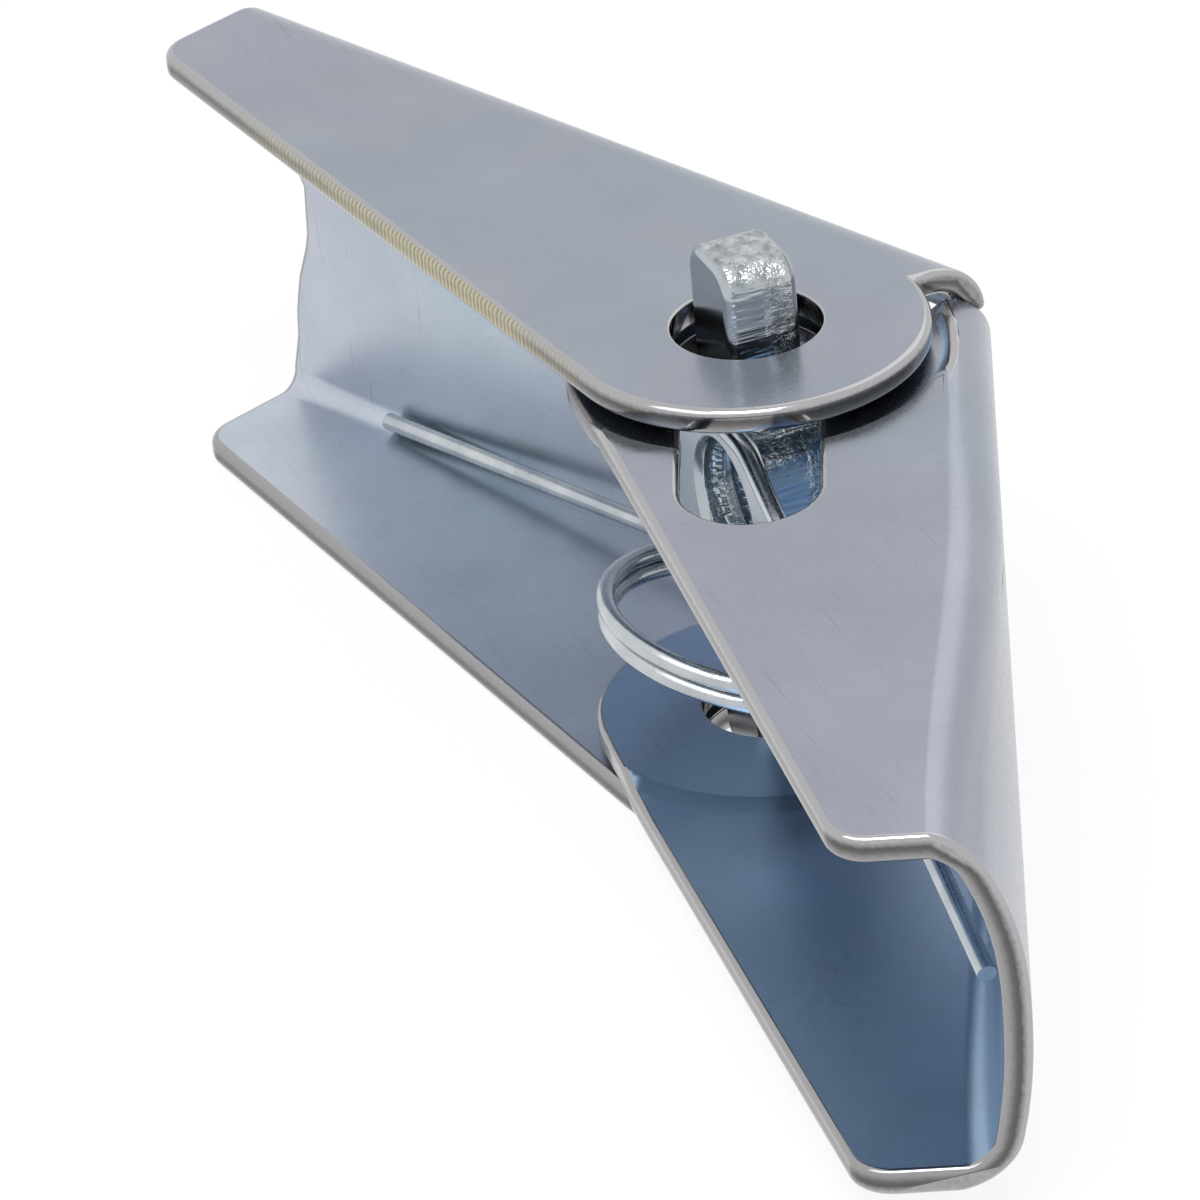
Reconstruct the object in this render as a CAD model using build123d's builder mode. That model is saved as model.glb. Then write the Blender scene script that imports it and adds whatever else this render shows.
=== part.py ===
# A spring toggle: two pressed-steel channel wings that turn on the ears of a
# stamped nut plate, pushed open by one wire torsion spring. All sizes are in mm.
# Z is the pivot axis. Y is the thread axis, with the bolt head towards -Y.
# The outer wing points to -X and the inner wing, nested inside it, to +X.
import math
import os
from build123d import *

# Sheet channel, shared by both wings
sheet_t = 1.4
bend_r = 2.6
outer_h = 25.6
side_play = 0.15
outer_len = 48.8
inner_len = 45.6
inner_tip_h = 19.8
web_reach = 12.3
tip_w = 8.6
tip_corner_r = 2.3
round_end_r = 9.4
pivot_hole_r = 3.9
droop_deg = 23.0
overrun = 2.0

# Web ends: hollowed at the tip, with a bolt notch at the pivot
tip_relief = 0.7
tip_recess = 1.2
recess_share = 0.5
recess_slope_share = 0.1
stop_gap = 0.12
tab_h = 3.0
notch_reach = 1.5
notch_corner_r = 1.6

# Pressed seats round the pivot of the inner wing, and its assembly slot
seat_r = 10.6
seat_depth = 0.45
seat_slope_deg = 60.0
slot_w = 7.0
slot_reach = 17.4

# Stamped nut plate
nut_t = 4.0
nut_body_w = 13.0
nut_body_h = 13.6
nut_corner_r = 2.5
ear_w = 5.2
ear_up = 4.3
ear_lift = 0.25
ear_end_r = 1.6
ear_face_r = 0.6
thread_core_r = 3.4
thread_lead = 0.7

# Torsion spring
wire_r = 0.5
wire_gap = 0.12
coil_r = 8.4
coil_turns_past_first = 1
coil_pitch = 1.03
coil_lean_deg = 14.5
outer_leg_reach = 40.0
inner_leg_reach = 40.5
leg_end_drop_share = 0.36
riser_end_deg = 190.0
riser_bend_r = 1.5
coil_sides = 12
coil_smooth_share = 0.97

# Worked out from the sizes above
inner_h = outer_h - 2 * sheet_t - 2 * side_play
nut_len = outer_h + ear_up - ear_lift
wing_mid_z = nut_len / 2 - ear_up - outer_h / 2
droop = math.radians(droop_deg)
cos_d = math.cos(droop)
sin_d = math.sin(droop)
web_in = web_reach - sheet_t
half_gap = stop_gap / 2
foot_t = math.sqrt(round_end_r ** 2 - half_gap ** 2)
tab_foot = (half_gap * cos_d - foot_t * sin_d, half_gap * sin_d + foot_t * cos_d)
web_end = (web_reach * sin_d - half_gap) / cos_d
near_d = web_reach - tip_w
inner_face_z = inner_h / 2 - sheet_t

# Each wing has a plane in which x runs along the wing and y towards its web
outer_mid = Plane(origin=(0, 0, wing_mid_z), x_dir=(-cos_d, -sin_d, 0), z_dir=(0, 0, -1))
inner_mid = Plane(origin=(0, 0, wing_mid_z), x_dir=(cos_d, -sin_d, 0), z_dir=(0, 0, 1))


def across(mid, back):
    # Plane square to the wing, with x towards the web
    place = mid.from_local_coords((-back, 0, 0))
    return Plane(origin=place, x_dir=mid.y_dir, z_dir=mid.x_dir)


def web_plane(mid):
    # Plane in the middle of the web's thickness, with x along the wing
    place = mid.from_local_coords((0, web_reach - sheet_t / 2, 0))
    return Plane(origin=place, x_dir=mid.x_dir, z_dir=mid.y_dir)


def on_wing(mid, s, d, z):
    # A point on a wing, by its distance along it, towards the web, and its height
    flat = mid.from_local_coords((s, d, 0))
    return (flat.X, flat.Y, z)


def cut_edge_foot(length):
    # Where the cut edge from the tip's near corner runs into the round end
    turn = math.atan2(near_d, length) - math.acos(round_end_r / math.hypot(length, near_d))
    return (round_end_r * math.cos(turn), round_end_r * math.sin(turn))


back = round_end_r + bend_r + overrun
channel_w = web_reach + back
channel_mid = web_reach - channel_w / 2
hollow_mid = web_in - channel_w / 2
notch_w = notch_reach + web_end + notch_corner_r + overrun
notch_mid = notch_reach - notch_w / 2

with BuildPart() as outer_wing:
    # The channel: a long U section
    with BuildSketch(across(outer_mid, back)):
        with Locations((channel_mid, 0)):
            RectangleRounded(channel_w, outer_h, bend_r)
        with Locations((hollow_mid, 0)):
            RectangleRounded(channel_w, outer_h - 2 * sheet_t, bend_r - sheet_t, mode=Mode.SUBTRACT)
    extrude(amount=back + outer_len)
    # Its outline from above
    outer_foot = cut_edge_foot(outer_len)
    with BuildSketch(outer_mid) as outer_outline:
        with BuildLine():
            Polyline(tab_foot, (-web_end, web_reach), (outer_len, web_reach), (outer_len, near_d),
                     outer_foot)
            ThreePointArc(outer_foot, (-round_end_r, 0), tab_foot)
        make_face()
        near_corner = outer_outline.vertices().group_by(Axis.X)[-1].sort_by(Axis.Y)[0]
        fillet(near_corner, tip_corner_r)
    extrude(amount=outer_h, both=True, mode=Mode.INTERSECT)
    # Pivot holes
    with BuildSketch(outer_mid):
        Circle(pivot_hole_r)
    extrude(amount=outer_h, both=True, mode=Mode.SUBTRACT)
    # Web ends
    flat_h = outer_h - 2 * bend_r
    relief_s = outer_len - tip_relief
    recess_s = relief_s - tip_recess
    past_s = outer_len + overrun
    recess_h = outer_h * recess_share
    slope_h = outer_h * recess_slope_share
    with BuildSketch(web_plane(outer_mid)):
        with BuildLine():
            Polyline((past_s, -flat_h / 2), (outer_len, -flat_h / 2), (relief_s, -recess_h / 2),
                     (recess_s, -recess_h / 2 + slope_h), (recess_s, recess_h / 2 - slope_h),
                     (relief_s, recess_h / 2), (outer_len, flat_h / 2), (past_s, flat_h / 2), close=True)
        make_face()
        with Locations((notch_mid, 0)):
            RectangleRounded(notch_w, outer_h - 2 * tab_h, notch_corner_r)
    extrude(amount=sheet_t, both=True, mode=Mode.SUBTRACT)
outer_wing.part.label = "outer_wing"

with BuildPart() as inner_wing:
    # The channel: a narrower U section, level round the pivot so that it nests in the outer wing
    with BuildSketch(across(inner_mid, back)):
        with Locations((channel_mid, 0)):
            RectangleRounded(channel_w, inner_h, bend_r)
        with Locations((hollow_mid, 0)):
            RectangleRounded(channel_w, inner_h - 2 * sheet_t, bend_r - sheet_t, mode=Mode.SUBTRACT)
    extrude(amount=back + seat_r)
    # Past the pivot its flanges close in towards the tip
    with BuildSketch(across(inner_mid, -seat_r)):
        with Locations((channel_mid, 0)):
            RectangleRounded(channel_w, inner_h, bend_r)
        with Locations((hollow_mid, 0)):
            RectangleRounded(channel_w, inner_h - 2 * sheet_t, bend_r - sheet_t, mode=Mode.SUBTRACT)
    with BuildSketch(across(inner_mid, -inner_len)):
        with Locations((channel_mid, 0)):
            RectangleRounded(channel_w, inner_tip_h, bend_r)
        with Locations((hollow_mid, 0)):
            RectangleRounded(channel_w, inner_tip_h - 2 * sheet_t, bend_r - sheet_t, mode=Mode.SUBTRACT)
    loft(ruled=True)
    # Pressed seats: raised on the inside of each flange
    with BuildSketch(inner_mid.offset(inner_face_z)):
        Circle(seat_r)
    extrude(amount=-seat_depth, taper=seat_slope_deg)
    with BuildSketch(inner_mid.offset(-inner_face_z)):
        Circle(seat_r)
    extrude(amount=seat_depth, taper=seat_slope_deg)
    # Its outline from above
    inner_foot = cut_edge_foot(inner_len)
    with BuildSketch(inner_mid) as inner_outline:
        with BuildLine():
            Polyline(tab_foot, (-web_end, web_reach), (inner_len, web_reach), (inner_len, near_d),
                     inner_foot)
            ThreePointArc(inner_foot, (-round_end_r, 0), tab_foot)
        make_face()
        near_corner = inner_outline.vertices().group_by(Axis.X)[-1].sort_by(Axis.Y)[0]
        fillet(near_corner, tip_corner_r)
    extrude(amount=inner_h, both=True, mode=Mode.INTERSECT)
    # Pressed seats: sunk on the outside of each flange
    with BuildSketch(inner_mid.offset(inner_h / 2)):
        Circle(seat_r)
    extrude(amount=-seat_depth, taper=seat_slope_deg, mode=Mode.SUBTRACT)
    with BuildSketch(inner_mid.offset(-inner_h / 2)):
        Circle(seat_r)
    extrude(amount=seat_depth, taper=seat_slope_deg, mode=Mode.SUBTRACT)
    # Round pivot holes, and the assembly slot in the upper flange only
    with BuildSketch(inner_mid):
        Circle(pivot_hole_r)
    extrude(amount=inner_h, both=True, mode=Mode.SUBTRACT)
    slot_run = slot_reach - slot_w / 2
    with BuildSketch(inner_mid):
        with Locations((slot_run / 2, 0)):
            SlotCenterToCenter(slot_run, slot_w)
    extrude(amount=inner_h, mode=Mode.SUBTRACT)
    # Web ends
    flat_h = inner_tip_h - 2 * bend_r
    relief_s = inner_len - tip_relief
    recess_s = relief_s - tip_recess
    past_s = inner_len + overrun
    recess_h = inner_tip_h * recess_share
    slope_h = inner_tip_h * recess_slope_share
    with BuildSketch(web_plane(inner_mid)):
        with BuildLine():
            Polyline((past_s, -flat_h / 2), (inner_len, -flat_h / 2), (relief_s, -recess_h / 2),
                     (recess_s, -recess_h / 2 + slope_h), (recess_s, recess_h / 2 - slope_h),
                     (relief_s, recess_h / 2), (inner_len, flat_h / 2), (past_s, flat_h / 2), close=True)
        make_face()
        with Locations((notch_mid, 0)):
            RectangleRounded(notch_w, inner_h - 2 * tab_h, notch_corner_r)
    extrude(amount=sheet_t, both=True, mode=Mode.SUBTRACT)
inner_wing.part.label = "inner_wing"

with BuildPart() as trunnion_nut:
    # A stamped plate: a body between the wings and an ear up and down
    with BuildSketch(Plane.XZ) as nut_outline:
        RectangleRounded(nut_body_w, nut_body_h, nut_corner_r)
        RectangleRounded(ear_w, nut_len, ear_end_r)
    extrude(amount=nut_t / 2, both=True)
    # Core of the thread, with a lead at both mouths
    with BuildSketch(Plane.XZ):
        Circle(thread_core_r)
    extrude(amount=nut_t, both=True, mode=Mode.SUBTRACT)
    mouths = trunnion_nut.edges().filter_by(GeomType.CIRCLE).group_by(SortBy.LENGTH)[-1]
    chamfer(mouths, thread_lead)
    # Ear ends, rounded where the plate was sheared
    ear_ends = trunnion_nut.edges().filter_by(Axis.X).group_by(Axis.Z)
    fillet(ear_ends[0] + ear_ends[-1], ear_face_r)
trunnion_nut.part.label = "trunnion_nut"

# The spring's centre line: outer leg, coil, riser, then the inner leg over the bolt
floor_z = wing_mid_z - inner_face_z + seat_depth
ceiling_z = wing_mid_z + inner_face_z - seat_depth
wire_clear = wire_r + wire_gap
# The coil leans: it lies on the lower flange at the back and passes under the bolt at the front
coil_lean = math.tan(math.radians(coil_lean_deg))
coil_z = floor_z + wire_r + 4 * wire_gap + coil_lean * coil_r
# The outer leg ends in the channel's corner, clear of the round inside the bend
corner_clear = wire_clear + (bend_r - sheet_t - wire_clear) * (1 - math.sqrt(1 / 2))
outer_leg_d = web_in - corner_clear
outer_leg_z = wing_mid_z - outer_h / 2 + sheet_t + corner_clear
inner_leg_d = web_in - wire_clear
inner_leg_z = wing_mid_z + inner_h / 2 - inner_h * leg_end_drop_share
leg_far = math.hypot(outer_leg_reach, outer_leg_d)
leave_at = math.atan2(outer_leg_d, outer_leg_reach) + math.acos(coil_r / leg_far)
coil_start = outer_mid.from_local_coords((coil_r * math.cos(leave_at), coil_r * math.sin(leave_at), 0))
start_deg = math.degrees(math.atan2(coil_start.Y, coil_start.X))
sweep_deg = (start_deg - riser_end_deg) % 360 + 360 * coil_turns_past_first
coil_corners = round(sweep_deg / 360 * coil_sides)
step_deg = sweep_deg / coil_corners
corner_r = coil_r / math.cos(math.radians(step_deg / 2))
run_y = -nut_t / 2 - wire_clear
run_z = ceiling_z - wire_r - 2 * wire_gap
end_at = math.radians(riser_end_deg)
riser_out = riser_bend_r + wire_r
riser_x = coil_r * math.cos(end_at) + riser_out * math.sin(end_at)
riser_y = coil_r * math.sin(end_at) - riser_out * math.cos(end_at)


def in_coil(x, y, turned):
    # A point of the coil, lifted by the turns so far and lowered by the lean
    return Vector(x, y, coil_z + coil_pitch * turned / 360 - coil_lean * y)


# A corner of the coil's circle every step, each rounded nearly to the middle of its sides
corners = [Vector(*on_wing(outer_mid, outer_leg_reach, outer_leg_d, outer_leg_z))]
radii = []
for i in range(coil_corners):
    turned = step_deg * (i + 1 / 2)
    at = math.radians(start_deg - turned)
    corners.append(in_coil(corner_r * math.cos(at), corner_r * math.sin(at), turned))
    radii.append(coil_r * coil_smooth_share)
corners.append(in_coil(riser_x, riser_y, sweep_deg))
radii.append(riser_bend_r)
corners.append(Vector(-coil_r, run_y, run_z))
radii.append(riser_bend_r)
corners.append(Vector(ear_w, run_y, run_z))
radii.append(coil_r)
corners.append(Vector(*on_wing(inner_mid, inner_leg_reach, inner_leg_d, inner_leg_z)))

with BuildPart() as torsion_spring:
    with BuildLine() as spring_line:
        FilletPolyline(*corners, radius=radii)
    with BuildSketch(Plane(origin=spring_line.line @ 0, z_dir=spring_line.line % 0)):
        Circle(wire_r)
    sweep(path=spring_line.line)
torsion_spring.part.label = "torsion_spring"

os.makedirs("parts", exist_ok=True)
export_step(outer_wing.part, "parts/outer_wing.step")
export_step(inner_wing.part, "parts/inner_wing.step")
export_step(trunnion_nut.part, "parts/trunnion_nut.step")
export_step(torsion_spring.part, "parts/torsion_spring.step")
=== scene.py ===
# %% [markdown]
# # A spring toggle in zinc-plated steel
# Two folded sheet wings turn on the ears of a stamped nut plate, and one wire spring pushes them
# open. The solids come in as a fixed frame. This lesson gives each of them the finish of the real
# piece: rolled and sheared edges, blue passivated zinc, a drawn wire and a cut thread.

# %% Load the frame
import math

import bmesh
import bpy
from mathutils import Matrix, Vector


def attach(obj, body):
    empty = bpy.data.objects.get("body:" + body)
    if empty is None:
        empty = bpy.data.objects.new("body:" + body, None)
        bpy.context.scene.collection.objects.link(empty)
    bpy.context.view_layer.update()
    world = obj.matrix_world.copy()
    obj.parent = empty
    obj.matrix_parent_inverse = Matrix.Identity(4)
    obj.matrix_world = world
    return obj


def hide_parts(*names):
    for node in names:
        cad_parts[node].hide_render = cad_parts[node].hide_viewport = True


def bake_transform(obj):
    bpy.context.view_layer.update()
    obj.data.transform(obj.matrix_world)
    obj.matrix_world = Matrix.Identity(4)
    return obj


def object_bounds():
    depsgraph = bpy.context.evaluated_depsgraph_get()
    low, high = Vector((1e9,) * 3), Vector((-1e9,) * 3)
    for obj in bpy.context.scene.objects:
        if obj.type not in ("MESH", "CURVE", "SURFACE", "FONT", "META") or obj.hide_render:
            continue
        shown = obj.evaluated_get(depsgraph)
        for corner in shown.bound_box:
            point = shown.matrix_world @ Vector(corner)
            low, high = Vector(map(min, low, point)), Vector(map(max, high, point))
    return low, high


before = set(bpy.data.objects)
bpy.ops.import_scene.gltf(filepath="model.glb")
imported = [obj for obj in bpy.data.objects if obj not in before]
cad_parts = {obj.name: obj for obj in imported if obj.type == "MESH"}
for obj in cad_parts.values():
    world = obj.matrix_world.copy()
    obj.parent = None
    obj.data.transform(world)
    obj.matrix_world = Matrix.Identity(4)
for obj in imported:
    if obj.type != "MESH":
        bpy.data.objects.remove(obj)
cad_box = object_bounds()
mm = 0.001
scene = bpy.context.scene
print("frame:", sorted(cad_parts))
print("box in mm:", [[round(x / mm, 1) for x in c] for c in cad_box])

# %% [markdown]
# ## Colours and nodes
# Colours are written as they look on a screen, as hex values, but Blender's nodes want linear
# light. One function turns the first into the second. Another adds a node, sets its options and
# fills its inputs: a socket given as a value is linked, anything else is set as that input's own
# number. The short ones after it call it for what every finish here is made of, and give back the
# socket to go on from.


# %% Colour and node helpers
def linear(colour):
    parts = [int(colour[i : i + 2], 16) / 255 for i in (1, 3, 5)]
    return (*[p / 12.92 if p <= 0.04045 else ((p + 0.055) / 1.055) ** 2.4 for p in parts], 1.0)


def add_node(tree, kind, inputs=(), **settings):
    node = tree.nodes.new(kind)
    for name, value in settings.items():
        setattr(node, name, value)
    for name, value in dict(inputs).items():
        if isinstance(value, bpy.types.NodeSocket):
            tree.links.new(value, node.inputs[name])
        else:
            node.inputs[name].default_value = value
    return node


print("mid grey, hex to linear:", [round(c, 3) for c in linear("#808080")])


# %% Steps that every finish shares
def new_material(name):
    material = bpy.data.materials.new(name)
    material.use_nodes = True
    material.node_tree.nodes.clear()
    return material, material.node_tree


def maths(tree, operation, *values):
    return add_node(tree, "ShaderNodeMath", dict(enumerate(values)), operation=operation).outputs[0]


def remap(tree, value, low, high, to_low, to_high):
    """Bring a value from one range to another, and hold it there."""
    inputs = dict(enumerate((value, low, high, to_low, to_high)))
    return add_node(tree, "ShaderNodeMapRange", inputs).outputs[0]


def mix(tree, share, one, other):
    """Mix two colours. A Mix node takes them at inputs 6 and 7 and gives one at output 2."""
    inputs = {0: share, 6: one, 7: other}
    return add_node(tree, "ShaderNodeMix", inputs, data_type="RGBA").outputs[2]


def noise(tree, vector, size, **more):
    inputs = {"Vector": vector, "Scale": 1 / size, **more}
    return add_node(tree, "ShaderNodeTexNoise", inputs).outputs["Fac"]


def ramp(tree, value, *stops):
    """Colour a value by stops, each a place from 0 to 1 and a hex colour."""
    node = add_node(tree, "ShaderNodeValToRGB", {"Fac": value})
    elements = node.color_ramp.elements
    for index in (0, 1):
        position, colour = stops[-index]
        elements[index].position = position
        elements[index].color = linear(colour)
    for position, colour in stops[1:-1]:
        elements.new(position).color = linear(colour)
    return node.outputs[0]


def metal_finish(tree, colour, roughness, height, strength, distance):
    """End a material as bare metal, with a bump made from a height."""
    inputs = {"Height": height, "Strength": strength, "Distance": distance}
    relief = add_node(tree, "ShaderNodeBump", inputs).outputs[0]
    inputs = {"Base Color": colour, "Metallic": 1.0, "Roughness": roughness, "Normal": relief}
    metal = add_node(tree, "ShaderNodeBsdfPrincipled", inputs)
    add_node(tree, "ShaderNodeOutputMaterial", {"Surface": metal.outputs[0]})


print("materials before the finishes:", len(bpy.data.materials))

# %% [markdown]
# ## The camera
# A product photograph like this is taken with a long lens from some distance, so that the parallel
# edges of the wings stay almost parallel. The camera's place and turn were worked out by fitting
# the wings' edges, in millimetres, to where they lie in the picture, so they are given as numbers.

# %% Camera
image_px = 1200
focal_px = 7700.0
camera_at = Vector((322.29, -123.36, 193.19)) * mm
right = Vector((0.37568, 0.92330, -0.07991)).normalized()
look = Vector((-0.81750, 0.28954, -0.49785)).normalized()
camera_data = bpy.data.cameras.new("long_lens")
camera_data.sensor_width = 36.0
camera_data.lens = focal_px / image_px * camera_data.sensor_width
camera_data.clip_start = 0.01
camera = bpy.data.objects.new("long_lens", camera_data)
scene.collection.objects.link(camera)
up = right.cross(look).normalized()
turn = Matrix((right, up, -look)).transposed().to_4x4()
camera.matrix_world = Matrix.Translation(camera_at) @ turn
scene.camera = camera
print("lens in mm:", round(camera_data.lens, 1))

# %% [markdown]
# ## Light and floor
# Bright zinc shows what stands round it, so a studio surrounds it with white and lets a few soft
# boxes draw the highlights along the rounded edges. The world is white for what the camera and the
# metal see, and softer as a lamp. The floor is nearly white, and still takes a faint shadow.

# %% World
lamp_strength = 0.75
white = linear("#FFFFFF")
scene.view_settings.view_transform = "Standard"
world = bpy.data.worlds.new("white_studio")
world.use_nodes = True
scene.world = world
sky = world.node_tree
sky.nodes.clear()
path = add_node(sky, "ShaderNodeLightPath").outputs
seen = maths(sky, "MAXIMUM", path["Is Camera Ray"], path["Is Glossy Ray"])
seen = maths(sky, "MAXIMUM", seen, path["Is Transmission Ray"])
lamp = add_node(sky, "ShaderNodeBackground", {"Color": white, "Strength": lamp_strength})
backdrop = add_node(sky, "ShaderNodeBackground", {"Color": white, "Strength": 1.0})
both = add_node(sky, "ShaderNodeMixShader", {0: seen, 1: lamp.outputs[0], 2: backdrop.outputs[0]})
add_node(sky, "ShaderNodeOutputWorld", {"Surface": both.outputs[0]})
print("world nodes:", len(sky.nodes))

# %% Floor
floor_gap = 0.02 * mm
floor_half = 3.0
paper_glow = 0.88
floor_z = cad_box[0].z - floor_gap
floor_mesh = bpy.data.meshes.new("studio_floor")
square = ((-1, -1), (1, -1), (1, 1), (-1, 1))
floor_corners = [(x * floor_half, y * floor_half, floor_z) for x, y in square]
floor_mesh.from_pydata(floor_corners, [], [(0, 1, 2, 3)])
floor = bpy.data.objects.new("studio_floor", floor_mesh)
scene.collection.objects.link(floor)
paper, tree = new_material("white_paper_sweep")
path = add_node(tree, "ShaderNodeLightPath").outputs
seen = maths(tree, "MAXIMUM", path["Is Camera Ray"], path["Is Glossy Ray"])
glow_share = maths(tree, "MULTIPLY", seen, paper_glow)
matt = add_node(tree, "ShaderNodeBsdfDiffuse", {"Color": linear("#F2F2F2")})
glow = add_node(tree, "ShaderNodeEmission", {"Color": white, "Strength": 1.0})
inputs = {0: glow_share, 1: matt.outputs[0], 2: glow.outputs[0]}
both = add_node(tree, "ShaderNodeMixShader", inputs)
add_node(tree, "ShaderNodeOutputMaterial", {"Surface": both.outputs[0]})
floor_mesh.materials.append(paper)
print("floor at z in mm:", round(floor_z / mm, 2))

# %% Soft boxes: place and width in mm, and watts
soft_boxes = {
    "key_box": ((150, -420, 520), 420, 0.9),
    "rim_box": ((-250, 330, 420), 420, 0.25),
    "top_box": ((240, -120, 450), 260, 1.7),
}
for name, (place, width, watts) in soft_boxes.items():
    light = bpy.data.lights.new(name, "AREA")
    light.shape = "SQUARE"
    light.size = width * mm
    light.energy = watts
    box = bpy.data.objects.new(name, light)
    scene.collection.objects.link(box)
    aim = (-Vector(place)).to_track_quat("-Z", "Y").to_matrix().to_4x4()
    box.matrix_world = Matrix.Translation(Vector(place) * mm) @ aim
print("soft boxes:", sorted(soft_boxes))

# %% [markdown]
# ## Blue passivated zinc on rolled sheet
# The wings are low-carbon steel, electroplated with bright zinc and dipped in a thin passivate. The
# film is clear, a little blue, and under half a micrometre thick, so it throws faint teal, straw
# and rose tints where its thickness wanders. Handling leaves hairline scratches. The colour is
# greyer outside and bluer inside the channel, where it is a painted shade and reflection: deep blue
# inside the inner wing, pale blue inside the outer one. The tint patches here are 7 to 19 mm wide,
# the satin grain is 0.25 mm and the pin specks are 0.5 mm. The scratches are drawn 0.12 mm wide,
# wider than real ones, so that they show. One metal shader carries all of it, from noise in the
# object's own space. The channel's inside is told apart by a face attribute, because no colour
# depends on the view.

# %% Sheet metal finish
patch_size, film_size = 7 * mm, 19 * mm
grain_size, speck_size = 0.25 * mm, 0.5 * mm
grain_height = 0.02 * mm
scratch_length, scratch_width = 9 * mm, 0.12 * mm
scratch_turn = math.radians(-35)
sheet_zinc, tree = new_material("blue_zinc_on_rolled_sheet")
place = add_node(tree, "ShaderNodeTexCoord").outputs["Object"]
# The channel's inside takes a painted shade and reflection, bluer than the outside
inside = add_node(tree, "ShaderNodeAttribute", attribute_name="channel_inside_shade").outputs["Fac"]
patches = noise(tree, place, patch_size, Detail=3.0, Roughness=0.55)
film = noise(tree, place, film_size, Detail=2.0, Distortion=0.6)
grain = noise(tree, place, grain_size, Detail=2.0)
specks = noise(tree, place, speck_size, Detail=1.0)
# The outside of both wings, then the painted shade and reflection inside the inner one and inside
# the outer one
tone = ramp(tree, inside, (0.0, "#9DA2AD"), (0.5, "#92B3D4"), (1.0, "#CDD6E2"))
cloud_share = remap(tree, patches, 0.30, 0.72, 0.24, 0.0)
tone = mix(tree, cloud_share, tone, linear("#6F7785"))
tint = ramp(tree, film, (0.28, "#8FAEB6"), (0.5, "#A4A8B0"), (0.74, "#AE9CB4"))
# The film's tints show more inside the channel, as part of the painted shade there
tint_share = remap(tree, inside, 0.0, 1.0, 0.16, 0.3)
tone = mix(tree, tint_share, tone, tint)
speck_share = remap(tree, specks, 0.66, 0.74, 0.0, 0.1)
tone = mix(tree, speck_share, tone, linear("#6C737F"))
scratch_scale = (1 / scratch_length, 1 / scratch_width, 1 / scratch_length)
inputs = {"Vector": place, "Rotation": (0, 0, scratch_turn), "Scale": scratch_scale}
dragged = add_node(tree, "ShaderNodeMapping", inputs).outputs[0]
hairlines = noise(tree, dragged, 1.0, Detail=1.0)
touched = remap(tree, film, 0.44, 0.6, 0.0, 0.55)
hair_share = maths(tree, "MULTIPLY", remap(tree, hairlines, 0.70, 0.78, 0.0, 1.0), touched)
tone = mix(tree, hair_share, tone, linear("#767980"))
softer = remap(tree, inside, 0.0, 0.5, 0.0, 0.1)
satin = remap(tree, grain, 0.3, 0.7, 0.19, 0.28)
gloss = maths(tree, "ADD", satin, softer)
metal_finish(tree, tone, gloss, grain, strength=0.12, distance=grain_height)
print("made:", sheet_zinc.name, "nodes:", len(tree.nodes))

# %% [markdown]
# ## Sheared edges
# A press cuts the sheet's outline and holes. The cut face has a smooth sheared band and a torn
# band, and short marks run across it from the tool. A point attribute, the depth in the sheet, lays
# the bands, whose colours are partly the real bands and partly painted light: a painted highlight
# along the roll at the outside and a painted dark reflection over the torn band. The plating is
# thin there, so it turns a neutral grey, and straw along the outer wing's upper edge, where the
# passivate gathered. A face attribute says where that is. The marks are drawn 0.4 mm apart, coarser
# than the real ones, so that they show.

# %% Sheared edge finish
mark_pitch = 0.4 * mm
gather_size, tear_size = 11 * mm, 0.3 * mm
mark_height = 0.03 * mm
# Along the wing, the straw comes in from the tip and fades out on the round end
straw_comes = (-38 * mm, -26 * mm)
straw_fades = (-5 * mm, 1.2 * mm)
sheared_zinc, tree = new_material("grey_zinc_on_sheared_edge")
place = add_node(tree, "ShaderNodeTexCoord").outputs["Object"]
where_x = add_node(tree, "ShaderNodeSeparateXYZ", {"Vector": place}).outputs["X"]
straw = add_node(tree, "ShaderNodeAttribute", attribute_name="straw_share").outputs["Fac"]
depth = add_node(tree, "ShaderNodeAttribute", attribute_name="sheet_depth").outputs["Fac"]
# A wave texture turns through 20 radians in each unit of length
wave_scale = math.tau / 20 / mark_pitch
marks = add_node(
    tree,
    "ShaderNodeTexWave",
    {"Vector": place, "Scale": wave_scale, "Distortion": 1.5, "Detail": 2.0, "Detail Scale": 1.5},
    wave_type="BANDS",
    bands_direction="X",
).outputs["Fac"]
gather = noise(tree, place, gather_size, Detail=2.0)
tear = noise(tree, place, tear_size, Detail=3.0)
band = maths(tree, "ADD", depth, maths(tree, "MULTIPLY_ADD", tear, 0.14, -0.07))
# Bright at the roll, a painted highlight; dark over the torn band, partly a painted dark
# reflection; then grey to the inside
painted_highlight_and_torn_band = ((0.16, "#AEAEB0"), (0.40, "#5F5C5B"), (0.55, "#6B6969"))
back_to_bright = ((0.78, "#989798"), (0.95, "#A2A1A2"))
grey = ramp(tree, band, *painted_highlight_and_torn_band, *back_to_bright)
straw_tone = mix(tree, marks, linear("#8F896F"), linear("#CFC6A0"))
gathered = remap(tree, gather, 0.36, 0.5, 0.3, 0.7)
past_tip = remap(tree, where_x, *straw_comes, 0.1, 1.0)
before_round_end = remap(tree, where_x, *straw_fades, 1.0, 0.0)
long_edge = maths(tree, "MULTIPLY", past_tip, before_round_end)
straw_edge = maths(tree, "MULTIPLY", long_edge, straw)
tone = mix(tree, maths(tree, "MULTIPLY", gathered, straw_edge), grey, straw_tone)
marked = maths(tree, "MULTIPLY", marks, straw_edge)
height = maths(tree, "MULTIPLY_ADD", tear, 0.15, marked)
gloss = remap(tree, tear, 0.3, 0.7, 0.09, 0.15)
metal_finish(tree, tone, gloss, height, strength=0.2, distance=mark_height)
print("made:", sheared_zinc.name, "nodes:", len(tree.nodes))

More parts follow.
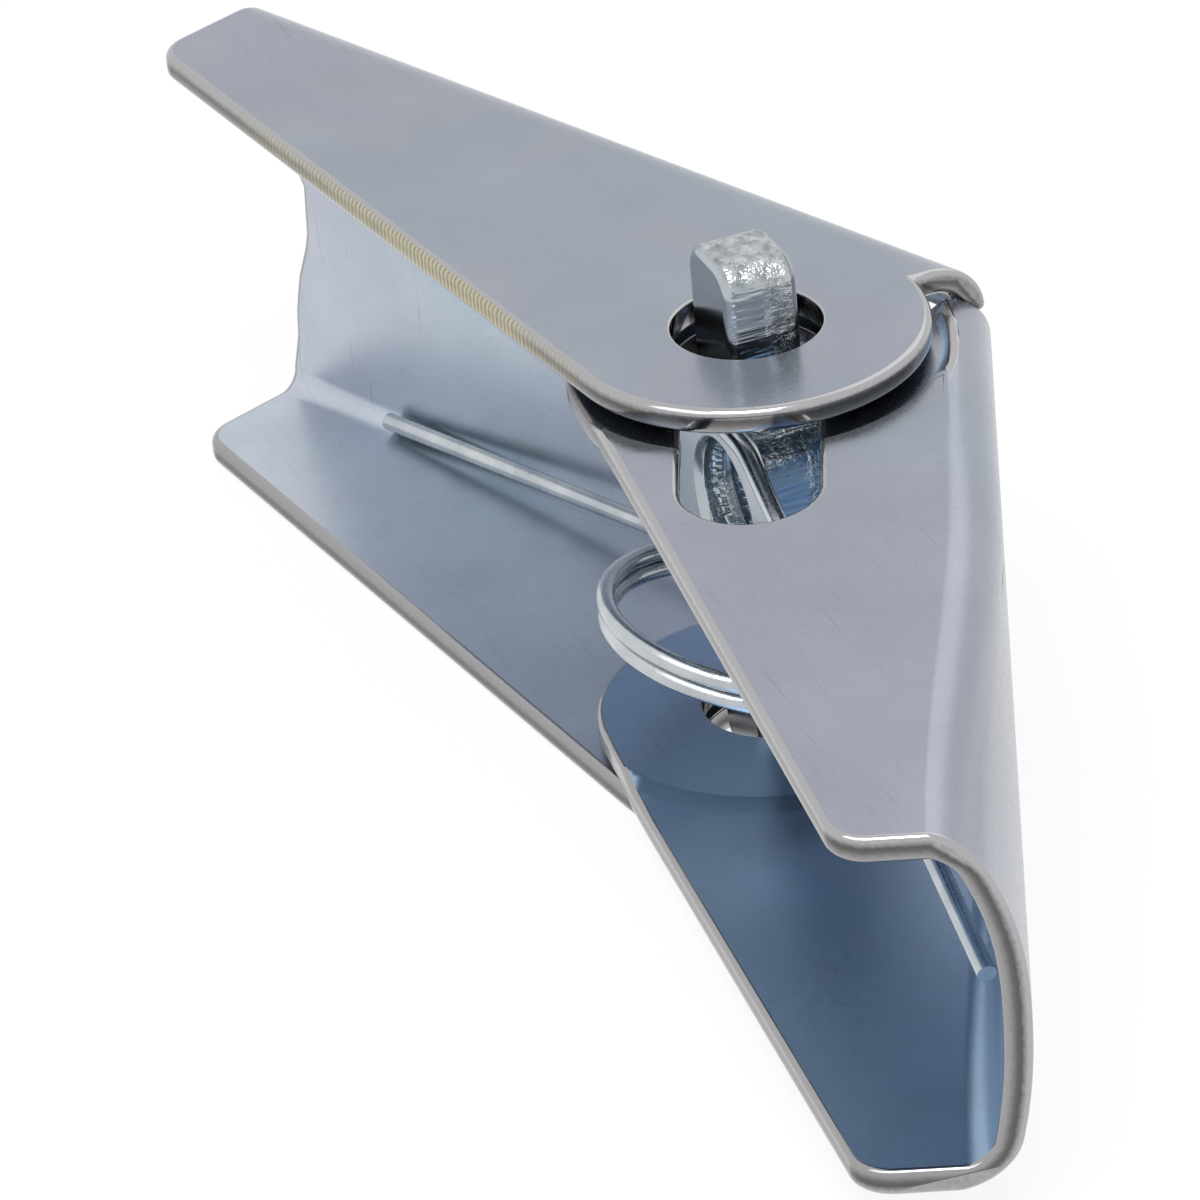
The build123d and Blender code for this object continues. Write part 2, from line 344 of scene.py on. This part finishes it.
# %% [markdown]
# ## Copies of the solids
# Each wing is a flat blank, cut out and folded into a channel, so its long edges are bends and all
# its other edges are cuts, with a small roll where the punch went in. A copy of the solid is
# enough, because modelling the wings again would only repeat it. Its loose triangles are merged and
# flat faces are joined, and a Bevel rounds the sharp edges. Where the Bevel leaves a point of a
# flat face off its plane, or two corners crossed, they are set right before the normals are made.

# %% Copying and baking
merge_near = 0.002 * mm
join_flatter = math.radians(0.6)


def plain_mesh(piece):
    """Put what the modifiers make of a piece in place of its mesh."""
    shown = piece.evaluated_get(bpy.context.evaluated_depsgraph_get())
    mesh = bpy.data.meshes.new_from_object(shown)
    piece.modifiers.clear()
    piece.data = mesh
    mesh.name = piece.name


def merged_copy(node, name):
    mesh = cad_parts[node].data.copy()
    mesh.materials.clear()
    bm = bmesh.new()
    bm.from_mesh(mesh)
    bmesh.ops.remove_doubles(bm, verts=bm.verts, dist=merge_near)
    bmesh.ops.dissolve_limit(bm, angle_limit=join_flatter, verts=bm.verts, edges=bm.edges)
    bm.to_mesh(mesh)
    bm.free()
    piece = bpy.data.objects.new(name, mesh)
    scene.collection.objects.link(piece)
    print(name, "faces after merging:", len(mesh.polygons))
    return piece


print("solids to copy or replace:", sorted(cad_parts))


# %% Rounded edges
large_area = 5 * mm * mm
many_corners = 7
mostly = 0.8
level_within, stray_past, stray_up_to = 0.002 * mm, 0.0005 * mm, 0.6 * mm
crossed_within, same_point = 0.15 * mm, 0.001 * mm
sharp_past = math.radians(40)


def level_flats(mesh):
    """Bring stray points of large level faces back into plane, and join corners that crossed."""
    moved = joined = 0
    for face in mesh.polygons:
        corners = [mesh.vertices[i] for i in face.vertices]
        heights = sorted(v.co.z for v in corners)
        middle = heights[len(heights) // 2]
        level = sum(abs(z - middle) < level_within for z in heights)
        large = face.area >= large_area and len(corners) >= many_corners
        if not large or level < mostly * len(corners):
            continue
        for vertex in corners:
            if stray_past < abs(vertex.co.z - middle) < stray_up_to:
                vertex.co.z = middle
                moved += 1
        for one, other in zip(corners, corners[1:] + corners[:1]):
            if (one.co - other.co).length < crossed_within:
                one.co = other.co = (one.co + other.co) / 2
                joined += 1
    bm = bmesh.new()
    bm.from_mesh(mesh)
    bmesh.ops.remove_doubles(bm, verts=bm.verts, dist=same_point)
    bm.to_mesh(mesh)
    bm.free()
    print("points brought back to level:", moved, "joined:", joined)


def round_edges(piece, width, segments, angle_deg, share=None, material=-1):
    """Round each sharp edge by the width, or by the share of it that a function gives."""
    bm = bmesh.new()
    bm.from_mesh(piece.data)
    weight = bm.edges.layers.float.new("bevel_weight_edge")
    for edge in bm.edges:
        if len(edge.link_faces) == 2 and edge.calc_face_angle() > math.radians(angle_deg):
            edge[weight] = share(*[v.co for v in edge.verts]) if share else 1.0
    bm.to_mesh(piece.data)
    bm.free()
    bevel = piece.modifiers.new("rounded_edges", "BEVEL")
    bevel.width = width
    bevel.segments = segments
    bevel.limit_method = "WEIGHT"
    bevel.material = material
    bevel.loop_slide = False
    bevel.use_clamp_overlap = share is None
    plain_mesh(piece)
    if share:
        level_flats(piece.data)
    piece.data.shade_smooth()
    piece.data.set_sharp_from_angle(angle=sharp_past)
    flat_first = piece.modifiers.new("flat_faces_stay_flat", "WEIGHTED_NORMAL")
    flat_first.keep_sharp = True
    plain_mesh(piece)


print("edges count as sharp, in degrees past:", round(math.degrees(sharp_past)))

# %% [markdown]
# ## The wings
# The finish needs to know which faces of the sheet are cut, and which look into the channel. Each
# wing has a line along it and one towards its web, and a face is told apart by where it lies
# between them and which way it looks. The inner wing's web isn't flat: pressing its flanges
# together bowed it, up to 2 mm at the tip, and the webs' ends are cut on a soft line. So the copies
# are sliced, and those points are moved.

# %% Where a face lies on its wing
droop = math.radians(23)
sheet_t = 1.4 * mm
bend_r = 2.6 * mm
web_face = 12.3 * mm
wing_mid_z = -2.275 * mm
# The flanges stay level up to the edge of the seats, then taper to the tip
level_to = 10.6 * mm
cos_d, sin_d = math.cos(droop), math.sin(droop)
wing_lines = {
    "outer_wing": (Vector((-cos_d, -sin_d, 0)), Vector((-sin_d, cos_d, 0))),
    "inner_wing": (Vector((cos_d, -sin_d, 0)), Vector((sin_d, cos_d, 0))),
}
# How much of a normal lies along the wing, towards the web or upwards where a face counts as cut
end_cut_past, web_cut_below, flange_cut_below = 0.6, 0.7, 0.45
looks_in_past = -0.02
# Half the height at the pivot and at the tip, and the length
wing_sizes = {
    "outer_wing": (12.8 * mm, 12.8 * mm, 48.8 * mm),
    "inner_wing": (11.25 * mm, 9.9 * mm, 45.6 * mm),
}


def half_height_at(s, node):
    at_pivot, at_tip, length = wing_sizes[node]
    gone = max(0.0, (s - level_to) / (length - level_to))
    return at_pivot + (at_tip - at_pivot) * gone


def sheet_side(n, c, node):
    """Which side of the sheet a face is on, by its normal and centre: cut, inside or outside."""
    along, webward = wing_lines[node]
    half_height = half_height_at(c.dot(along), node)
    rise = c.z - wing_mid_z
    past_bend = c.dot(webward) > web_face - bend_r
    in_flange = abs(rise) > half_height - bend_r
    to_web, to_flange = n.dot(webward), n.z * (1 if rise > 0 else -1)
    if past_bend and in_flange:
        cut = abs(n.dot(along)) > end_cut_past
    elif past_bend:
        cut = abs(to_web) < web_cut_below
    else:
        cut = abs(n.z) < flange_cut_below
    if cut:
        return "cut"
    looks_in = (to_web < looks_in_past and past_bend) or to_flange < looks_in_past
    return "inside" if looks_in else "outside"


def sheet_depth(co, node):
    """How deep a point lies in the sheet: 0 on the outside of the channel, 1 on its inside."""
    along, webward = wing_lines[node]
    half_height = half_height_at(co.dot(along), node)
    to_web = co.dot(webward) - (web_face - bend_r)
    to_flange = abs(co.z - wing_mid_z) - (half_height - bend_r)
    if to_web > 0 and to_flange > 0:
        return (bend_r - math.hypot(to_web, to_flange)) / sheet_t
    return (bend_r - max(to_web, to_flange)) / sheet_t


inner_length = wing_sizes["inner_wing"][2]
inner_tip = half_height_at(inner_length, "inner_wing")
print("inner wing's half height at the tip, mm:", round(inner_tip / mm, 2))

# %% Slicing the copies
hole_rim, off_rim = 4.0 * mm, 4.2 * mm
on_plane = 0.001 * mm
flat_below = 0.01
cut_dist = 1e-7
sliver = 0.06 * mm
web_levels = range(-8, 9)


def slice_web(piece, along, from_s, to_s, slices):
    """Cut a wing through the pivot, so that no flat face has a hole, and its web into points."""
    bm = bmesh.new()
    bm.from_mesh(piece.data)
    whole = bm.verts[:] + bm.edges[:] + bm.faces[:]
    bmesh.ops.bisect_plane(bm, geom=whole, dist=cut_dist, plane_co=(0, 0, 0), plane_no=along)
    bridges = []
    for edge in bm.edges:
        near, far = sorted(v.co.xy.length for v in edge.verts)
        flat = len(edge.link_faces) == 2 and edge.calc_face_angle() < flat_below
        on_cut = max(abs(v.co.dot(along)) for v in edge.verts) < on_plane
        if flat and not on_cut and near < hole_rim and far > off_rim:
            bridges.append(edge)
    print("bridges to the pivot holes:", len(bridges))
    bmesh.ops.dissolve_edges(bm, edges=bridges, use_verts=False)
    upward = Vector((0, 0, 1))
    cuts = [(upward * (wing_mid_z + level * mm), upward) for level in web_levels]
    cuts += [(along * (from_s + (to_s - from_s) * i / slices), along) for i in range(slices)]
    for at, facing in cuts:
        far = [f for f in bm.faces if max(v.co.dot(along) for v in f.verts) > from_s]
        parts = set(far) | {e for f in far for e in f.edges} | {v for f in far for v in f.verts}
        bmesh.ops.bisect_plane(bm, geom=list(parts), dist=cut_dist, plane_co=at, plane_no=facing)
    bmesh.ops.remove_doubles(bm, verts=bm.verts, dist=sliver)
    bm.to_mesh(piece.data)
    bm.free()


print("levels of the slices, in mm from the middle:", web_levels[0], "to", web_levels[-1])

# %% Soft web ends and the bowed web
# How far each web's end stands back, in mm, at heights in mm from the wing's middle
lower_end = ((-10.19, 0.1), (-9, 0.5), (-6.5, 0.7), (-4.2, 1.2), (-1.4, 2.3))
upper_end = ((2, 2.5), (4.5, 1.2), (6.5, 0.7), (9, 0.5), (10.19, 0.1))
web_ends = {
    "outer_wing": lower_end + upper_end,
    "inner_wing": ((-7.29, 0.0), (-4.5, 0.3), (0, 0.45), (4.5, 0.3), (7.29, 0.0)),
}
end_zone = 2.1 * mm
web_margin = 0.1 * mm
bow_from, bow_to = 14 * mm, inner_length
bow_slices = {"outer_wing": 0, "inner_wing": 8}
# The bow in mm at a height in mm from the middle, and how steeply it grows up to there
upper_bow, lower_bow, most_bow = (1.45, 7.3, 2.2), (1.28, 9.0, 2.5), 2.1
# Towards the web, the bow comes in over the last part of the flange, in mm
flange_from, flange_over = 5.5, 5.4


def ease(share):
    share = min(max(share, 0.0), 1.0)
    return share * share * (3 - 2 * share)


def trim_end(piece, along, webward, length, set_back):
    """Give the web's end a smooth line through the places where it stands back."""
    for vertex in piece.data.vertices:
        rise = (vertex.co.z - wing_mid_z) / mm
        s, d = vertex.co.dot(along), vertex.co.dot(webward)
        in_web = d >= web_face - sheet_t - web_margin and set_back[0][0] < rise < set_back[-1][0]
        if s < length - end_zone or not in_web:
            continue
        for (low, low_back), (high, high_back) in zip(set_back, set_back[1:]):
            if low <= rise <= high:
                back = low_back + (high_back - low_back) * (rise - low) / (high - low)
                vertex.co += along * (length - back * mm - s)
                break


def bow_tip(piece, along, webward):
    """Draw the web in towards both bends, more and more to the tip, as pressing left it."""
    for vertex in piece.data.vertices:
        rise = (vertex.co.z - wing_mid_z) / mm
        drawn, at_height, power = upper_bow if rise > 0 else lower_bow
        drawn *= (abs(rise) / at_height) ** power
        if rise > 0:
            drawn = min(most_bow, drawn)
        to_tip = ease((vertex.co.dot(along) - bow_from) / (bow_to - bow_from))
        to_web = ease((vertex.co.dot(webward) / mm - flange_from) / flange_over)
        vertex.co -= webward * (drawn * to_tip * to_web * mm)


print("points of the outer web's end:", len(web_ends["outer_wing"]))

# %% Wing copies with rounded edges
edge_roll = {"outer_wing": 0.4 * mm, "inner_wing": 0.3 * mm}
roll_segments, roll_past_deg = 5, 38
hole_zone, hole_roll_share = 4.1 * mm, 0.35
# Each wing's inside gets its own painted shade: darker blue in the inner wing, paler in the outer
# one
inside_shade_values = {"outer_wing": 1.0, "inner_wing": 0.5}
straw_past = 6 * mm
straw_facing = (-0.98, -0.94)


def roll_share(a, b):
    return hole_roll_share if max(a.xy.length, b.xy.length) < hole_zone else 1.0


def add_values(mesh, name, domain, values):
    mesh.attributes.new(name, "FLOAT", domain).data.foreach_set("value", values)


for node, (along, webward) in wing_lines.items():
    wing = merged_copy(node, node + "_finish")
    slice_web(wing, along, bow_from, bow_to, bow_slices[node])
    wing.data.materials.append(sheet_zinc)
    wing.data.materials.append(sheared_zinc)
    inside_shades, straws = [], []
    for face in wing.data.polygons:
        n, c = face.normal, face.center
        side = sheet_side(n, c, node)
        face.material_index = 1 if side == "cut" else 0
        upper_cut = node == "outer_wing" and side == "cut" and c.z > 0
        on_long_edge = straw_facing[0] < n.dot(webward) < straw_facing[1] and n.dot(along) > 0
        takes_straw = upper_cut and on_long_edge and c.xy.length > straw_past
        inside_shades.append(inside_shade_values[node] if side == "inside" else 0.0)
        straws.append(1.0 if takes_straw else 0.0)
    add_values(wing.data, "channel_inside_shade", "FACE", inside_shades)
    add_values(wing.data, "straw_share", "FACE", straws)
    trim_end(wing, along, webward, wing_sizes[node][2], web_ends[node])
    round_edges(wing, edge_roll[node], roll_segments, roll_past_deg, roll_share, 1)
    depths = [sheet_depth(vertex.co, node) for vertex in wing.data.vertices]
    add_values(wing.data, "sheet_depth", "POINT", depths)
    if node == "inner_wing":
        bow_tip(wing, along, webward)
    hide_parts(node)
    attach(wing, node)
    cut_faces = sum(f.material_index for f in wing.data.polygons)
    print(wing.name, "faces:", len(wing.data.polygons), "cut:", cut_faces)

# %% [markdown]
# ## The spring wire
# The spring is one length of drawn wire: a leg along the outer wing, a leaning coil of nearly two
# turns round the lower ear, a riser beside the nut and a leg to the inner wing. A curve with a
# bevel would do, but a node tree that rounds the corners of the path and sweeps a circle along it
# keeps the bend radii and the wire's thickness as numbers that can be read. The wire is made in two
# lengths that meet over the bolt.

# %% Wire finish
wire_cloud_size, pit_size = 2.5 * mm, 0.18 * mm
pit_depth = 0.02 * mm
drawn_wire, tree = new_material("bright_zinc_on_drawn_wire")
place = add_node(tree, "ShaderNodeTexCoord").outputs["Object"]
cloud = noise(tree, place, wire_cloud_size, Detail=3.0)
pits = noise(tree, place, pit_size, Detail=2.0)
tone = ramp(tree, cloud, (0.3, "#AEB4BA"), (0.7, "#CDD1D3"))
gloss = remap(tree, pits, 0.3, 0.7, 0.16, 0.30)
metal_finish(tree, tone, gloss, pits, strength=0.15, distance=pit_depth)
print("made:", drawn_wire.name, "nodes:", len(tree.nodes))

# %% Wire path, with its sizes in mm
wire_r = 0.5
wire_gap = 0.12
coil_r = 8.4
coil_pitch = 1.03
coil_z = -8.523
coil_lean = math.tan(math.radians(14.5))
coil_sides = 12
coil_smooth_share = 0.97
outer_leg_reach, inner_leg_reach = 40.0, 42.0
inner_leg_end_z = -2.4
riser_at = math.radians(190)
riser_bend_r = 1.5
ear_w, nut_t = 5.2, 4.0
run_z = 6.385
wire_clear = wire_r + wire_gap
run_y = -nut_t / 2 - wire_clear
web_in = (web_face - sheet_t) / mm
inside_bend_r = (bend_r - sheet_t) / mm
corner_clear = wire_clear + (inside_bend_r - wire_clear) * (1 - math.sqrt(1 / 2))
outer_along, outer_webward = wing_lines["outer_wing"]
inner_along, inner_webward = wing_lines["inner_wing"]
outer_end = outer_along * outer_leg_reach + outer_webward * (web_in - corner_clear)
outer_end.z = (wing_mid_z - wing_sizes["outer_wing"][0] + sheet_t) / mm + corner_clear
inner_end = inner_along * inner_leg_reach + inner_webward * (web_in - wire_clear)
inner_end.z = inner_leg_end_z
flat_end = outer_end.xy
leave = math.atan2(flat_end.y, flat_end.x) - math.acos(coil_r / flat_end.length)
swept = (leave - riser_at) % math.tau + math.tau
corner_count = round(swept / math.tau * coil_sides)
step = swept / corner_count
print("coil turns:", round(swept / math.tau, 2), "corners:", corner_count)


# %% Wire corners, each with the radius of its bend
def in_coil(x, y, turned):
    """A point of the coil, lifted by the turns so far and lowered by the lean."""
    return Vector((x, y, coil_z + coil_pitch * turned / math.tau - coil_lean * y))


lower_route = [(outer_end, 0.0)]
corner_r = coil_r / math.cos(step / 2)
for i in range(corner_count):
    turned = step * (i + 1 / 2)
    at = leave - turned
    corner = in_coil(corner_r * math.cos(at), corner_r * math.sin(at), turned)
    lower_route.append((corner, coil_r * coil_smooth_share))
riser_out = riser_bend_r + wire_r
foot_x = coil_r * math.cos(riser_at) + riser_out * math.sin(riser_at)
foot_y = coil_r * math.sin(riser_at) - riser_out * math.cos(riser_at)
riser_foot = in_coil(foot_x, foot_y, swept)
riser_head = Vector((-coil_r, run_y, run_z))
over_bolt = Vector((0.0, run_y, run_z))
past_ear = Vector((ear_w, run_y, run_z))
lower_route += [(riser_foot, riser_bend_r), (riser_head, riser_bend_r), (over_bolt, 0.0)]
upper_route = [(over_bolt, 0.0), (past_ear, coil_r), (inner_end, 0.0)]
print("corners of the two routes:", len(lower_route), len(upper_route))


# %% Wire node tree
def geometry_tree(name, **inputs):
    """A node tree that takes and gives geometry, with further inputs and their identifiers."""
    tree = bpy.data.node_groups.new(name, "GeometryNodeTree")
    new_socket = tree.interface.new_socket
    new_socket("Geometry", in_out="INPUT", socket_type="NodeSocketGeometry")
    names = {}
    for label, kind in inputs.items():
        names[label] = new_socket(label, in_out="INPUT", socket_type=kind).identifier
    new_socket("Geometry", in_out="OUTPUT", socket_type="NodeSocketGeometry")
    return tree, names, add_node(tree, "NodeGroupInput").outputs


wire_tree, wire_inputs, given = geometry_tree(
    "wire_along_path",
    wire_radius="NodeSocketFloat",
    sides="NodeSocketInt",
    ring_spacing="NodeSocketFloat",
)
bend_points = 16
bend_radius = add_node(wire_tree, "GeometryNodeInputRadius").outputs[0]
inputs = {"Curve": given["Geometry"], "Radius": bend_radius, "Count": bend_points}
rounded = add_node(wire_tree, "GeometryNodeFilletCurve", inputs, mode="POLY").outputs[0]
inputs = {"Curve": rounded, "Length": given["ring_spacing"]}
even = add_node(wire_tree, "GeometryNodeResampleCurve", inputs, mode="LENGTH").outputs[0]
inputs = {"Curve": even, "Radius": 1.0}
full = add_node(wire_tree, "GeometryNodeSetCurveRadius", inputs).outputs[0]
inputs = {"Resolution": given["sides"], "Radius": given["wire_radius"]}
ring = add_node(wire_tree, "GeometryNodeCurvePrimitiveCircle", inputs).outputs["Curve"]
inputs = {"Curve": full, "Profile Curve": ring, "Fill Caps": True}
swept_wire = add_node(wire_tree, "GeometryNodeCurveToMesh", inputs).outputs[0]
real = add_node(wire_tree, "GeometryNodeRealizeInstances", {"Geometry": swept_wire}).outputs[0]
inputs = {"Geometry": real, "Material": drawn_wire}
coated = add_node(wire_tree, "GeometryNodeSetMaterial", inputs).outputs[0]
add_node(wire_tree, "NodeGroupOutput", {"Geometry": coated})
print("wire tree nodes:", len(wire_tree.nodes))

# %% The two lengths of wire
wire_sides = 14
ring_spacing = 0.45 * mm
cut_end_past = math.radians(50)


def wire(name, route):
    curve = bpy.data.curves.new(name, "CURVE")
    curve.dimensions = "3D"
    spline = curve.splines.new("POLY")
    spline.points.add(len(route) - 1)
    for point, (at, bend) in zip(spline.points, route):
        point.co = (*(at * mm), 1.0)
        point.radius = bend * mm
    path_object = bpy.data.objects.new(name + "_path", curve)
    scene.collection.objects.link(path_object)
    nodes = path_object.modifiers.new("wire", "NODES")
    nodes.node_group = wire_tree
    nodes[wire_inputs["wire_radius"]] = wire_r * mm
    nodes[wire_inputs["sides"]] = wire_sides
    nodes[wire_inputs["ring_spacing"]] = ring_spacing
    shown = path_object.evaluated_get(bpy.context.evaluated_depsgraph_get())
    mesh = bpy.data.meshes.new_from_object(shown)
    mesh.name = name
    bpy.data.objects.remove(path_object)
    piece = bpy.data.objects.new(name, mesh)
    scene.collection.objects.link(piece)
    mesh.shade_smooth()
    mesh.set_sharp_from_angle(angle=cut_end_past)
    return piece


lower_wire = wire("spring_coil_and_outer_leg", lower_route)
upper_wire = wire("spring_inner_leg", upper_route)
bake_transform(lower_wire)
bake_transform(upper_wire)
for piece in (lower_wire, upper_wire):
    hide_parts("torsion_spring")
    print(piece.name, "faces:", len(piece.data.polygons))

# %% [markdown]
# ## The nut plate
# The nut is stamped from 4 mm plate and tapped. Its flat faces are smooth. Its sides are sheared: a
# burnished band where the punch entered, then a torn one, and the ear's ends are rough. The
# material reads where it is on the piece, in millimetres, and which way the surface faces.

# %% Nut finish
plate_cloud_size, crumb_size = 4 * mm, 0.7 * mm
drag_width, drag_length = 0.3 * mm, 4 * mm
torn_over = 0.5 * mm
crumb_height = 0.09 * mm
nut_zinc, tree = new_material("bright_zinc_on_stamped_plate")
coordinates = add_node(tree, "ShaderNodeTexCoord").outputs
place = coordinates["Object"]
where_y = add_node(tree, "ShaderNodeSeparateXYZ", {"Vector": place}).outputs["Y"]
facing = add_node(tree, "ShaderNodeSeparateXYZ", {"Vector": coordinates["Normal"]}).outputs
cut_side = remap(tree, maths(tree, "ABSOLUTE", facing["Y"]), 0.75, 0.35, 0.0, 1.0)
torn_half = remap(tree, where_y, 0.0, torn_over, 0.0, 1.0)
ear_end = remap(tree, facing["Z"], 0.2, 0.6, 0.0, 1.0)
torn = maths(tree, "MAXIMUM", torn_half, ear_end)
torn_cut = maths(tree, "MULTIPLY", torn, cut_side)
cloud = noise(tree, place, plate_cloud_size, Detail=3.0)
crumbs = noise(tree, place, crumb_size, Detail=4.0, Roughness=0.6)
drag_scale = (1 / drag_width, 1 / drag_length, 1 / drag_width)
inputs = {"Vector": place, "Scale": drag_scale}
drag = noise(tree, add_node(tree, "ShaderNodeMapping", inputs).outputs[0], 1.0, Detail=2.0)
plate_tone = ramp(tree, cloud, (0.3, "#A2ABB3"), (0.7, "#BEC4C8"))
torn_tone = ramp(tree, crumbs, (0.34, "#7F8688"), (0.62, "#B9BEC0"))
tone = mix(tree, torn_cut, plate_tone, torn_tone)
drag_share = maths(tree, "MULTIPLY", drag, cut_side)
crumb_share = maths(tree, "MULTIPLY", crumbs, torn_cut)
height = maths(tree, "MULTIPLY_ADD", crumb_share, 3.0, drag_share)
gloss = remap(tree, torn_cut, 0.0, 1.0, 0.18, 0.2)
metal_finish(tree, tone, gloss, height, strength=0.8, distance=crumb_height)
print("made:", nut_zinc.name, "nodes:", len(tree.nodes))

# %% [markdown]
# ## The thread
# The bore is tapped M8, with a pitch of 1.25 mm. A tap leaves one groove that winds along the wall,
# so a node tree sweeps a four-sided cutter along a spiral and takes it away from the plate. The
# ridge that is left between the turns keeps the core's width.

# %% Thread node tree
thread_tree, thread_inputs, given = geometry_tree(
    "tapped_thread",
    pitch="NodeSocketFloat",
    core_radius="NodeSocketFloat",
    groove_depth="NodeSocketFloat",
    turns="NodeSocketFloat",
)
points_per_turn = 48
cutter_sides = 4
rise = maths(thread_tree, "MULTIPLY", given["pitch"], given["turns"])
inputs = {
    "Resolution": points_per_turn,
    "Rotations": given["turns"],
    "Start Radius": given["core_radius"],
    "End Radius": given["core_radius"],
    "Height": rise,
}
spiral = add_node(thread_tree, "GeometryNodeCurveSpiral", inputs).outputs[0]
inputs = {"Curve": spiral}
upright = add_node(thread_tree, "GeometryNodeSetCurveNormal", inputs, mode="Z_UP").outputs[0]
inputs = {"Resolution": cutter_sides, "Radius": given["groove_depth"]}
cutter_shape = add_node(thread_tree, "GeometryNodeCurvePrimitiveCircle", inputs).outputs["Curve"]
inputs = {"Curve": upright, "Profile Curve": cutter_shape, "Fill Caps": True}
cutter = add_node(thread_tree, "GeometryNodeCurveToMesh", inputs).outputs[0]
half_rise = maths(thread_tree, "MULTIPLY", rise, 0.5)
shift = add_node(thread_tree, "ShaderNodeCombineXYZ", {"Y": half_rise}).outputs[0]
inputs = {"Geometry": cutter, "Translation": shift, "Rotation": (math.radians(90), 0, 0)}
laid = add_node(thread_tree, "GeometryNodeTransform", inputs).outputs[0]
tapped = add_node(
    thread_tree,
    "GeometryNodeMeshBoolean",
    {"Mesh 1": given["Geometry"], "Mesh 2": laid},
    operation="DIFFERENCE",
    solver="EXACT",
).outputs[0]
real = add_node(thread_tree, "GeometryNodeRealizeInstances", {"Geometry": tapped}).outputs[0]
inputs = {"Geometry": real, "Material": nut_zinc}
coated = add_node(thread_tree, "GeometryNodeSetMaterial", inputs).outputs[0]
add_node(thread_tree, "NodeGroupOutput", {"Geometry": coated})
print("thread tree nodes:", len(thread_tree.nodes))

# %% Nut copy with the thread cut into it
nut_roll, nut_roll_segments, nut_roll_past_deg = 0.25 * mm, 3, 40
thread_pitch, core_r, groove_depth = 1.25 * mm, 3.4 * mm, 0.58 * mm
thread_turns = 5.0
thread_sharp_past = math.radians(35)
nut = merged_copy("trunnion_nut", "trunnion_nut_finish")
nut.data.materials.append(nut_zinc)
round_edges(nut, nut_roll, nut_roll_segments, nut_roll_past_deg)
before = len(nut.data.polygons)
nodes = nut.modifiers.new("thread", "NODES")
nodes.node_group = thread_tree
nodes[thread_inputs["pitch"]] = thread_pitch
nodes[thread_inputs["core_radius"]] = core_r
nodes[thread_inputs["groove_depth"]] = groove_depth
nodes[thread_inputs["turns"]] = thread_turns
plain_mesh(nut)
nut.data.shade_smooth()
nut.data.set_sharp_from_angle(angle=thread_sharp_past)
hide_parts("trunnion_nut")
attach(nut, "nut")
print(nut.name, "faces before and after the thread:", before, len(nut.data.polygons))

# %% Update the view layer
bpy.context.view_layer.update()
